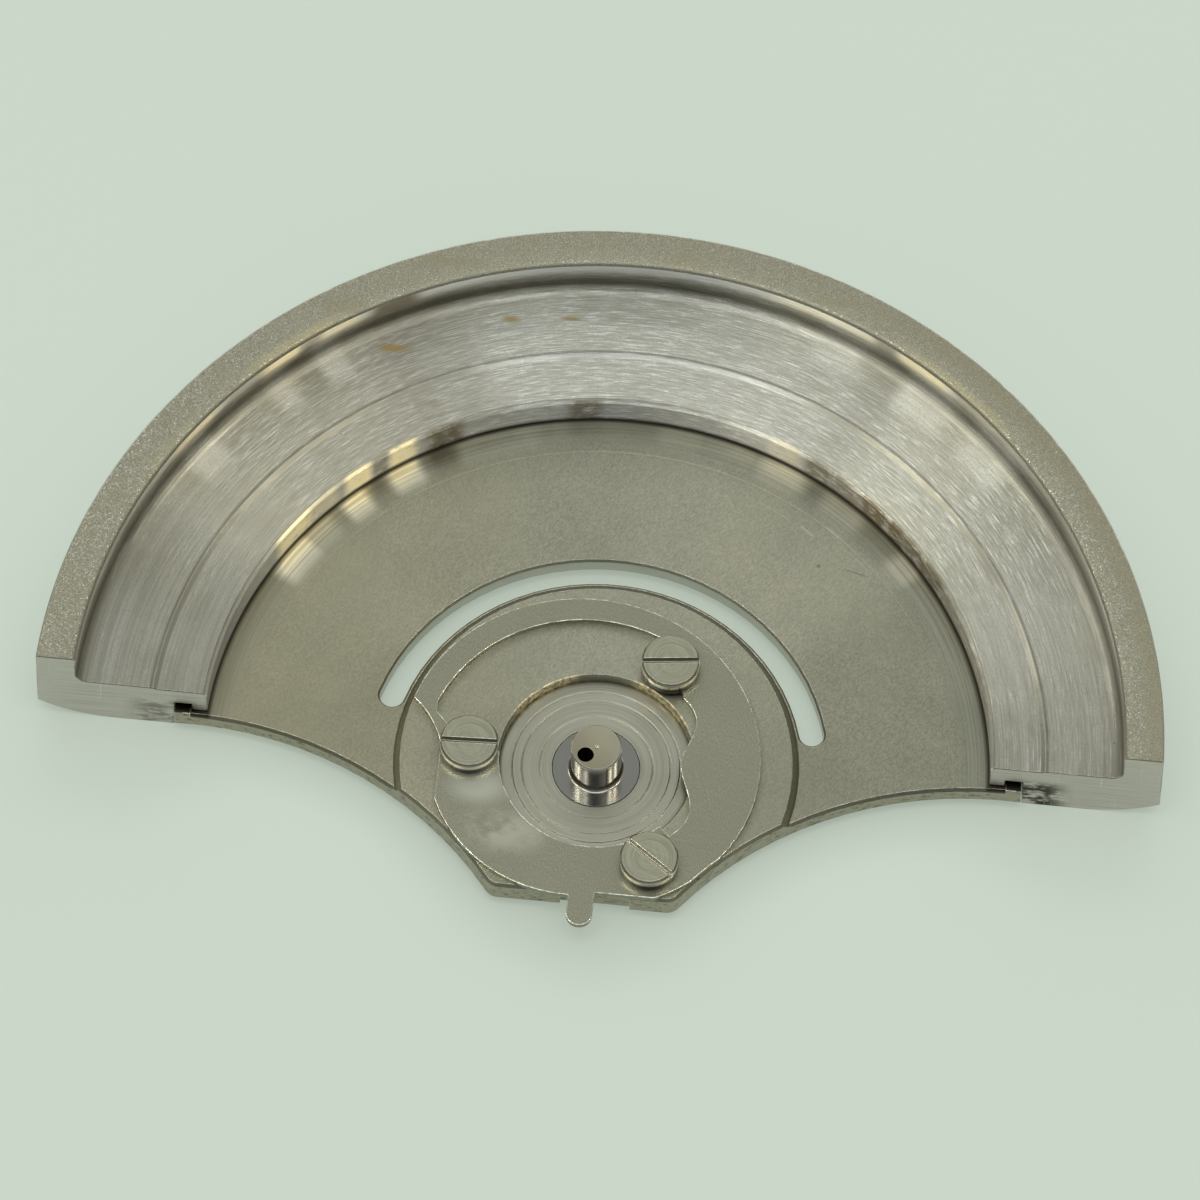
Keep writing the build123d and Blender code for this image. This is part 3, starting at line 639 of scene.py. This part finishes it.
def makeCollarMetal(name):
    s, coat = collarFinish, Coat(name, collarFinish)
    tree = coat.tree
    rings = useGroup(tree, turnedRings, Pitch=s["pitch"], Break=s["break"])
    broad = useGroup(tree, turnedRings, Pitch=s["broadPitch"], Break=s["broadBreak"])
    marks = useGroup(tree, handlingMarks, Shift=s["shift"])
    edge = useGroup(tree, edgeWearAndHighlight, Reach=s["reach"])
    x, y, _ = axesFrom(tree)
    radius = radiusOf(tree, x, y)
    coat.start(rings["Tone"])
    coat.lay("broad", broad["Tone"])
    coat.lay("smudge", marks["Smudge"])
    for markRadius in s["marks"]:
        for tint, line in (("shade", "markShade"), ("shine", "markShine")):
            offset, half, soft, strength = s[line]
            coat.lay(tint, bandAt(tree, radius, markRadius + offset, half, soft), strength=strength)
    coat.lay("shade", bandAt(tree, radius, *s["rim"]))
    coat.lay("shine", edge["Edge"])
    rough = calc(tree, "MULTIPLY_ADD", rings["Tone"], s["toneRough"], s["rough"])
    coat.brush(x, y)
    return coat.complete(rough, rings["Height"], edge["Normal"])


axleFinish = {
    "dark": rgb(0.33, 0.325, 0.305), "light": rgb(0.37, 0.365, 0.31), "end": rgb(0.42, 0.39, 0.29),
    "endDim": rgb(0.25, 0.23, 0.155), "ringShare": 0.25, "paintedDarkReflection": (rgb(0.10, 0.075, 0.045), 1.0),
    "shine": (rgb(0.95, 0.95, 0.93), 0.8), "shade": (rgb(0.03, 0.028, 0.022), 0.2),
    "paintedGoldHighlight": (rgb(0.70, 0.60, 0.38), 0.6), "shoulderGain": 0.85, "holeGain": 0.97, "pitch": 0.02, "break": 0.4,
    "shift": 2.0, "reach": 0.015, "rough": 0.14, "endRough": 0.26, "smudgeRough": 0.05, "bumpDepth": 0.0006,
    "bump": 0.3, "stripes": [(-148, 7, 7, 0.7), (-124, 1, 2, 0.7), (-112, 1, 2, 0.3), (-60, 1, 2, 0.8),
                             (-30, 6, 6, 0.6)],
    "topSpan": (1.0, 1.015), "slant": (-0.6, 0.6, 0.55, 0.0), "sideSpan": (0.617, 0.597), "sideFoot": (0.0, 0.05),
    "shoulderSpan": (0.617, 0.647), "foot": (0.07, 0.015, 0.03), "crown": (0.572, 0.014, 0.012),
    "crownRise": (1.0, 0.02, 0.01), "shoulder": (1.016, 0.008, 0.014), "hole": (-0.2297, -0.2097),
    "holeSpan": (0.192, 0.198, 1.0, 0.0), "holeTop": (0.99, 1.02, 1.0, 0.0),
}


def makeAxleSteel(name):
    s, coat = axleFinish, Coat(name, axleFinish)
    tree = coat.tree
    x, y, z = axesFrom(tree)
    radius = radiusOf(tree, x, y)
    rings = useGroup(tree, turnedRings, Pitch=s["pitch"], Break=s["break"])
    marks = useGroup(tree, handlingMarks, Shift=s["shift"])
    edge = useGroup(tree, edgeWearAndHighlight, Reach=s["reach"])
    top = fade(tree, z, *s["topSpan"])
    slant = fade(tree, calc(tree, "ADD", x, y), *s["slant"])
    coat.start(times(tree, rings["Tone"], s["ringShare"]))
    onSide = times(tree, fade(tree, radius, *s["sideSpan"]), fade(tree, z, *s["sideFoot"]))
    # painted dark reflections: stripes down the axle's side
    coat.streak("paintedDarkReflection", onSide, degreesRound(tree, x, y), "stripes")
    coat.lay("shade", fade(tree, radius, *s["shoulderSpan"]))
    coat.mix(top, mixColour(tree, slant, s["end"], s["endDim"]))
    # painted gold highlight round the axle's foot; a painted highlight round the crown's edge; painted shade at the
    # shoulder's edge and in the oil hole
    coat.lay("paintedGoldHighlight", bandAt(tree, z, *s["foot"]))
    coat.lay("shine", bandAt(tree, radius, *s["crown"]), bandAt(tree, z, *s["crownRise"]))
    coat.lay("shade", bandAt(tree, radius, *s["shoulder"]), strength=s["shoulderGain"])
    holeX, holeY = s["hole"]
    fromHole = radiusOf(tree, calc(tree, "SUBTRACT", x, holeX), calc(tree, "SUBTRACT", y, holeY))
    coat.lay("shade", fade(tree, fromHole, *s["holeSpan"]), fade(tree, z, *s["holeTop"]), strength=s["holeGain"])
    rough = addNode(tree, "Mix", {"Factor": top, "A": s["rough"], "B": s["endRough"]}).outputs[0]
    rough = calc(tree, "MULTIPLY_ADD", marks["Smudge"], s["smudgeRough"], rough)
    return coat.complete(rough, rings["Height"], edge["Normal"])


latchFinish = {
    "light": rgb(0.35, 0.346, 0.268), "dark": rgb(0.245, 0.242, 0.18), "cloud": (rgb(0.255, 0.252, 0.19), 0.3),
    "polishedAndSheen": (rgb(0.60, 0.58, 0.48), 0.75), "paintedSheen": (rgb(0.50, 0.50, 0.43), 0.85),
    "scratch": (rgb(0.62, 0.61, 0.55), 0.1), "speck": (rgb(0.08, 0.07, 0.05), 0.6),
    "edge": (rgb(0.95, 0.94, 0.88), 0.7), "grainTurn": 1.4, "pitch": 0.02, "length": 3.0, "shift": 19.0,
    "reach": 0.05, "rough": 0.34, "edgeRough": -0.12, "polishedRough": -0.10, "bumpDepth": 0.002, "bump": 0.5,
    # each spot: its middle, x and y, and how far it reaches along x and y
    "sheenSpot": (-2.65, -0.95, 0.95, 0.65), "polishedSpot": (-1.9, -2.05, 1.45, 0.75),
    "patchy": (1.6, 3.0, 0.6), "patchySpan": (0.30, 0.58),
}


def makeLatchSteel(name):
    s, coat = latchFinish, Coat(name, latchFinish)
    tree = coat.tree
    x, y, _ = axesFrom(tree)
    grain = useGroup(tree, satinGrain, Turn=s["grainTurn"], Pitch=s["pitch"], Length=s["length"])
    marks = useGroup(tree, handlingMarks, Shift=s["shift"])
    edge = useGroup(tree, edgeWearAndHighlight, Reach=s["reach"])
    coat.start(grain["Tone"])
    coat.lay("cloud", grain["Cloud"])
    # painted sheen: a lighter patch below the left screw
    coat.lay("paintedSheen", spotAt(tree, x, y, *s["sheenSpot"]))
    # a smoother patch that is also lighter: polished finish with a painted sheen
    patchy = fade(tree, noiseAt(tree, millimetres(tree), *s["patchy"]), *s["patchySpan"])
    polishedAndSheen = times(tree, spotAt(tree, x, y, *s["polishedSpot"]), patchy)
    coat.lay("polishedAndSheen", polishedAndSheen)
    coat.lay("scratch", marks["Scratch"])
    coat.lay("speck", marks["Speck"])
    # bright broken edges: partly wear, partly a painted highlight
    coat.lay("edge", edge["Edge"])
    rough = calc(tree, "MULTIPLY_ADD", edge["Edge"], s["edgeRough"], s["rough"])
    rough = calc(tree, "MULTIPLY_ADD", polishedAndSheen, s["polishedRough"], rough)
    return coat.complete(rough, grain["Height"], edge["Normal"])


screwFinish = {
    "light": rgb(0.42, 0.412, 0.32), "dark": rgb(0.32, 0.313, 0.235), "slotWall": (rgb(0.10, 0.085, 0.055), 0.85),
    "slotFloor": (rgb(0.46, 0.45, 0.38), 0.9), "side": (rgb(0.96, 0.92, 0.82), 0.7),
    "shade": (rgb(0.015, 0.013, 0.01), 0.97), "edge": (rgb(0.95, 0.94, 0.88), 0.85),
    "scratch": (rgb(0.72, 0.71, 0.66), 0.3), "pitch": 0.03, "break": 0.6, "shiftPerX": 3.0, "reach": 0.025,
    "rough": 0.30, "sideRough": -0.13, "bumpDepth": 0.0022, "bump": 0.5,
    "headRadius": 0.68, "headHeight": 0.37, "slotDepth": 0.17,
    # limits counted from the head's radius, its top, the slot's floor and the head's foot
    "topSpan": (-0.05, -0.03, 1.0, 0.0), "sideSpan": (-0.03, -0.01), "wallSpan": (-0.03, -0.005, 1.0, 0.0),
    "floorSpan": (0.005, 0.015, 1.0, 0.0), "shadeSpan": (0.15, 0.23, 1.0, 0.0), "edgeSpan": (0.2, 0.25),
}


def makeScrewSteel(name, centreX, centreY, headTop):
    s, coat = screwFinish, Coat(name, screwFinish)
    tree = coat.tree
    x, y, z = axesFrom(tree, (centreX, centreY, 0.0))
    radius = radiusOf(tree, x, y)
    rings = useGroup(tree, turnedRings, Centre=(centreX, centreY, 0.0), Pitch=s["pitch"], Break=s["break"])
    marks = useGroup(tree, handlingMarks, Shift=centreX * s["shiftPerX"])
    edge = useGroup(tree, edgeWearAndHighlight, Reach=s["reach"])
    coat.start(rings["Tone"])
    coat.lay("scratch", marks["Scratch"])
    inner = fadeFrom(tree, radius, s["headRadius"], *s["topSpan"])
    side = fadeFrom(tree, radius, s["headRadius"], *s["sideSpan"])
    slotFoot = headTop - s["slotDepth"]
    headFoot = headTop - s["headHeight"]
    # painted shade on the slot's walls and a painted highlight on its floor; on the head's side, a painted highlight
    # above a painted shadow at its foot; bright edges partly wear, partly painted highlight
    coat.lay("slotWall", fadeFrom(tree, z, headTop, *s["wallSpan"]), inner)
    coat.lay("slotFloor", fadeFrom(tree, z, slotFoot, *s["floorSpan"]), inner)
    coat.lay("side", side)
    coat.lay("shade", side, fadeFrom(tree, z, headFoot, *s["shadeSpan"]))
    coat.lay("edge", edge["Edge"], fadeFrom(tree, z, headFoot, *s["edgeSpan"]))
    rough = calc(tree, "MULTIPLY_ADD", side, s["sideRough"], s["rough"])
    return coat.complete(rough, rings["Height"], edge["Normal"])


# Heavy half ring, built finer than its solid, with a finish for each kind of face
ring = {
    "outer": 13.0, "bore": 9.064, "step": 10.31, "stepRun": 0.10, "rimInner": 12.10, "footFillet": 0.30,
    "boreBreak": 0.10, "bottom": -0.68, "innerFloor": 0.94, "floor": 0.99, "top": 2.04, "underRun": 1.80,
    "underRise": 0.56, "grooveOuter": 9.82, "grooveInner": 9.42, "grooveTop": 0.37, "webTop": 0.10,
    "endY": 0.46, "endBreak": 0.018, "edgeRound": 0.03, "topRound": 0.10, "arcSteps": 420, "roundStep": 0.04,
    "leastSteps": 3, "underSteps": 9, "leastLean": 0.4, "sharpAngle": 32,
}


def roundedSection(corners):  # each corner: radius, height, rounding and the finish of the face after it
    points, finishes = [], []
    count = len(corners)
    for i, (r, z, radius, finish) in enumerate(corners):
        before = Vector(corners[i - 1][:2]) - Vector((r, z))
        after = Vector(corners[(i + 1) % count][:2]) - Vector((r, z))
        half = before.angle(after) / 2
        if not radius:
            points.append(Vector((r, z)))
            finishes.append(finish)
            continue
        cut = radius / math.tan(half)
        start = Vector((r, z)) + before.normalized() * cut
        end = Vector((r, z)) + after.normalized() * cut
        middle = Vector((r, z)) + (before.normalized() + after.normalized()).normalized() * (radius / math.sin(half))
        a, b = start - middle, end - middle
        turn = a.angle_signed(b)
        steps = max(ring["leastSteps"], round(radius / ring["roundStep"]))
        for step in range(steps + 1):
            spun = a.copy()
            spun.rotate(Matrix.Rotation(-turn * (step / steps), 2))
            points.append(middle + spun)
            finishes.append(finish)
    return points, finishes


def insetSection(points, distance):
    moved = []
    for i, point in enumerate(points):
        first = (point - points[i - 1]).normalized()
        second = (points[(i + 1) % len(points)] - point).normalized()
        normal = Vector((-first.y - second.y, first.x + second.x)).normalized()
        lean = max(ring["leastLean"], normal.dot(Vector((-first.y, first.x))))
        moved.append(point + normal * distance / lean)
    return moved


def makeRing():
    s = ring
    turned, blasted, milled, wall = range(4)
    e = s["edgeRound"]
    underRadius = (s["underRun"] ** 2 + s["underRise"] ** 2) / (2 * s["underRise"])
    underTurn = math.asin(s["underRun"] / underRadius)
    underside = []
    for step in range(s["underSteps"] - 1, -1, -1):
        angle = underTurn * step / s["underSteps"]
        underside.append((s["outer"] - s["underRun"] + underRadius * math.sin(angle),
                          s["bottom"] + underRadius * (1 - math.cos(angle)), 0, turned))
    corners = [
        (s["bore"], s["webTop"], 0, wall),
        (s["bore"], s["innerFloor"] - s["boreBreak"], e, wall),
        (s["bore"] + s["boreBreak"], s["innerFloor"], e, turned),
        (s["step"] - s["stepRun"], s["innerFloor"], e, turned),
        (s["step"], s["floor"], e / 2, turned),
        (s["rimInner"], s["floor"], s["footFillet"], wall),
        (s["rimInner"], s["top"], s["topRound"], blasted),
        (s["outer"], s["top"], e, wall),
        (s["outer"], s["bottom"] + s["underRise"], e, turned),
        *underside,
        (s["grooveOuter"], s["bottom"], e, wall),
        (s["grooveOuter"], s["grooveTop"], 0, wall),
        (s["grooveInner"], s["grooveTop"], 0, wall),
        (s["grooveInner"], s["webTop"], 0, wall),
    ]
    points, finishes = roundedSection(corners)
    area = sum(points[i - 1].x * p.y - p.x * points[i - 1].y for i, p in enumerate(points)) / 2
    inner = insetSection(points, s["endBreak"] * (1 if area > 0 else -1))
    vertices, faces, materials = [], [], []
    steps = s["arcSteps"]
    for step in range(-1, steps + 2):
        atEnd = step in (-1, steps + 1)
        section = inner if atEnd else points
        offset = s["endY"] if atEnd else s["endY"] + s["endBreak"]
        share = min(1.0, max(0.0, step / steps))
        for p in section:
            first = math.asin(offset / p.x)
            angle = first + (math.pi - 2 * first) * share
            vertices.append((p.x * math.cos(angle) * mm, p.x * math.sin(angle) * mm, p.y * mm))
    count = len(points)
    for step in range(steps + 2):
        for i in range(count):
            j = (i + 1) % count
            a, b = step * count, (step + 1) * count
            faces.append((a + i, a + j, b + j, b + i))
            materials.append(finishes[i])
    faces.append(tuple(range(count))[::-1])
    faces.append(tuple(range((steps + 2) * count, (steps + 3) * count)))
    materials += [milled, milled]
    if area < 0:
        faces = [tuple(reversed(f)) for f in faces]
    mesh = bpy.data.meshes.new("ringBody")
    mesh.from_pydata(vertices, [], faces)
    mesh.polygons.foreach_set("material_index", materials)
    mesh.update()
    piece = bpy.data.objects.new("ring_body", mesh)
    scene.collection.objects.link(piece)
    for finish in (makeTurnedSteel("weightTurned", turnedSteel["rough"]), makeBlastedSteel("weightBlasted"),
                   makeMilledSteel("weightMilled"), makeTurnedSteel("weightWall", turnedSteel["wallRough"])):
        mesh.materials.append(finish)
    for polygon in mesh.polygons:
        polygon.use_smooth = True
    mesh.set_sharp_from_angle(angle=math.radians(s["sharpAngle"]))
    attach(piece, "rotor")
    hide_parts("oscillating_weight")
    return piece


ringPiece = makeRing()
print("heavy ring made:", len(ringPiece.data.polygons), "faces")


# The pieces that keep their solids
def paint(name, material):
    for slot in nodes[name].material_slots:
        slot.link = "OBJECT"
        slot.material = material


paint("rotor_plate", makePlateMetal("plateSatin"))
paint("axle_collar", makeCollarMetal("collarTurned"))
paint("axle", makeAxleSteel("axlePolished"))
paint("latch_plate", makeLatchSteel("latchLapped"))
for screwName in ("screw_left", "screw_upper", "screw_lower"):
    low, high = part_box(screwName)
    centre = (low + high) / 2 / mm
    paint(screwName, makeScrewSteel(screwName + "Metal", centre.x, centre.y, high.z / mm))
print("metal finishes made")


# Floor, light and camera
studio = {
    "floorZ": -0.681, "floorColour": rgb(0.415, 0.465, 0.432), "floorGlow": rgb(0.298, 0.340, 0.292),
    "floorSize": 1400.0, "floorSteps": 24, "floorRough": 0.85, "floorSpecular": 0.2, "floorCloud": 1.02,
    "cloudNoise": (0.03, 2.0, 0.5), "cloudSpan": (0.3, 0.7), "middle": (0, 4, 0), "lampDistance": 600.0,
    "sky": rgb(0.95, 1.0, 0.96), "skySides": rgb(1.0, 0.98, 0.84), "skyRise": (0.30, 0.90, 0.12, 0.66),
    "sideSpan": (0.15, 0.60), "sideGain": 0.25, "backdrop": rgb(0.66, 0.70, 0.64),
    "shadeAt": (0.0, -0.46, 0.89), "shadeSpan": (0.12, 0.30, 0.25, 1.0),
    # each lamp: name, azimuth and height, width and depth, all in degrees, then brightness and colour
    "lamps": [
        ("overhead", 268.0, 82.0, 34.0, 16.0, 2.4, (0.96, 0.99, 1.0)),
        ("back", 92.0, 34.0, 70.0, 22.0, 1.6, (1.0, 0.99, 0.94)),
    ],
    # narrow lamps that only draw the streaks on the turned metal and leave the paper out
    "streaks": [
        ("rightLow", 13.4, 62.4, 4.5, 8.0, 19.0, (1.0, 0.95, 0.80)),
        ("rightHigh", -16.5, 62.4, 4.0, 8.0, 15.0, (1.0, 0.94, 0.78)),
        ("leftFront", 227.0, 62.4, 8.0, 9.0, 7.0, (1.0, 0.98, 0.90)),
        ("leftHigh", 192.5, 62.4, 4.5, 8.0, 21.0, (1.0, 0.97, 0.84)),
        ("leftSide", 172.5, 62.4, 4.0, 8.0, 13.0, (1.0, 0.97, 0.84)),
        ("leftLow", 162.0, 46.0, 12.0, 14.0, 4.0, (1.0, 0.99, 0.93)),
    ],
}


def makeStudio():
    s = studio
    mesh = bpy.data.meshes.new("floorSheet")
    steps = s["floorSteps"]
    row = steps + 1
    vertices = [((i / steps - 0.5) * s["floorSize"] * mm, (j / steps - 0.5) * s["floorSize"] * mm, s["floorZ"] * mm)
                for j in range(row) for i in range(row)]
    faces = [(j * row + i, j * row + i + 1, (j + 1) * row + i + 1, (j + 1) * row + i)
             for j in range(steps) for i in range(steps)]
    mesh.from_pydata(vertices, [], faces)
    floor = bpy.data.objects.new("floor", mesh)
    scene.collection.objects.link(floor)
    material = bpy.data.materials.new("floorPaper")
    material.use_nodes = True
    tree = material.node_tree
    shader = tree.nodes["Principled BSDF"]
    cloud = fade(tree, noiseAt(tree, millimetres(tree), *s["cloudNoise"]), *s["cloudSpan"])
    cloudColour = rgb(*(part * s["floorCloud"] for part in s["floorColour"][:3]))
    feedAll(tree, shader.inputs, {
        "Base Color": mixColour(tree, cloud, s["floorColour"], cloudColour), "Roughness": s["floorRough"],
        "Specular IOR Level": s["floorSpecular"],
        "Emission Color": s["floorGlow"], "Emission Strength": 1.0})  # paper spreads light, also into shadows
    mesh.materials.append(material)
    world = bpy.data.worlds.new("softSky")
    scene.world = world
    world.use_nodes = True
    tree = world.node_tree
    sky = tree.nodes["Background"]
    towards = addNode(tree, "TexCoord").outputs["Generated"]
    x, _, z = splitXyz(tree, towards)
    sides = fade(tree, calc(tree, "ABSOLUTE", x), *s["sideSpan"])
    fromShade = vecCalc(tree, "DISTANCE", towards, s["shadeAt"])
    strength = times(tree, fade(tree, z, *s["skyRise"]), calc(tree, "MULTIPLY_ADD", sides, s["sideGain"], 1.0),
                     fade(tree, fromShade, *s["shadeSpan"]))
    feedAll(tree, sky.inputs, {"Color": mixColour(tree, sides, s["sky"], s["skySides"]), "Strength": strength})
    plain = addNode(tree, "Background", {"Color": s["backdrop"], "Strength": 1.0}).outputs[0]
    seen = addNode(tree, "MixShader", {0: addNode(tree, "LightPath").outputs["Is Camera Ray"],
                                       1: sky.outputs[0], 2: plain}).outputs[0]
    feed(tree, tree.nodes["World Output"].inputs["Surface"], seen)
    paperLeftOut = bpy.data.collections.new("paperLeftOut")
    paperLeftOut.objects.link(floor)
    paperLeftOut.collection_objects[0].light_linking.link_state = "EXCLUDE"
    middle = Vector(s["middle"]) * mm
    distance = s["lampDistance"] * mm
    for setting in s["lamps"] + s["streaks"]:
        name, azimuth, height, width, depth, brightness, colour = setting
        light = bpy.data.lights.new(name, "AREA")
        light.shape = "RECTANGLE"
        light.size = 2 * distance * math.tan(math.radians(width / 2))
        light.size_y = 2 * distance * math.tan(math.radians(depth / 2))
        light.energy = brightness * math.pi * light.size * light.size_y
        light.color = colour
        lamp = bpy.data.objects.new(name, light)
        a, h = math.radians(azimuth), math.radians(height)
        back = Vector((math.cos(a) * math.cos(h), math.sin(a) * math.cos(h), math.sin(h)))
        lamp.location = middle + back * distance
        lamp.rotation_euler = back.to_track_quat("Z", "Y").to_euler()
        lamp.visible_camera = False
        scene.collection.objects.link(lamp)
        if setting in s["streaks"]:
            lamp.light_linking.receiver_collection = paperLeftOut


view = {
    "turn": 4.5, "rise": 62.42, "distance": 345.0, "target": (-0.258, 3.276, 2.04), "roll": 1.37, "lens": 450.0,
    "sensor": 36.0, "nearest": 0.02, "farthest": 10.0,
}


def makeCamera():
    s = view
    a, e, roll = math.radians(s["turn"]), math.radians(s["rise"]), math.radians(s["roll"])
    back = Vector((math.sin(a) * math.cos(e), -math.cos(a) * math.cos(e), math.sin(e)))
    right = Vector((math.cos(a), math.sin(a), 0))
    up = right.cross(-back)
    across = right * math.cos(roll) + up * math.sin(roll)
    upward = up * math.cos(roll) - right * math.sin(roll)
    data = bpy.data.cameras.new("camera")
    data.sensor_width = s["sensor"]
    data.lens = s["lens"]
    data.clip_start = s["nearest"]
    data.clip_end = s["farthest"]
    camera = bpy.data.objects.new("camera", data)
    camera.matrix_world = Matrix.Translation((Vector(s["target"]) + back * s["distance"]) * mm) @ Matrix(
        (across, upward, back)).transposed().to_4x4()
    scene.collection.objects.link(camera)
    scene.camera = camera


makeStudio()
makeCamera()
scene.view_settings.view_transform = "Standard"
scene.view_settings.look = "None"
print("studio and camera made")
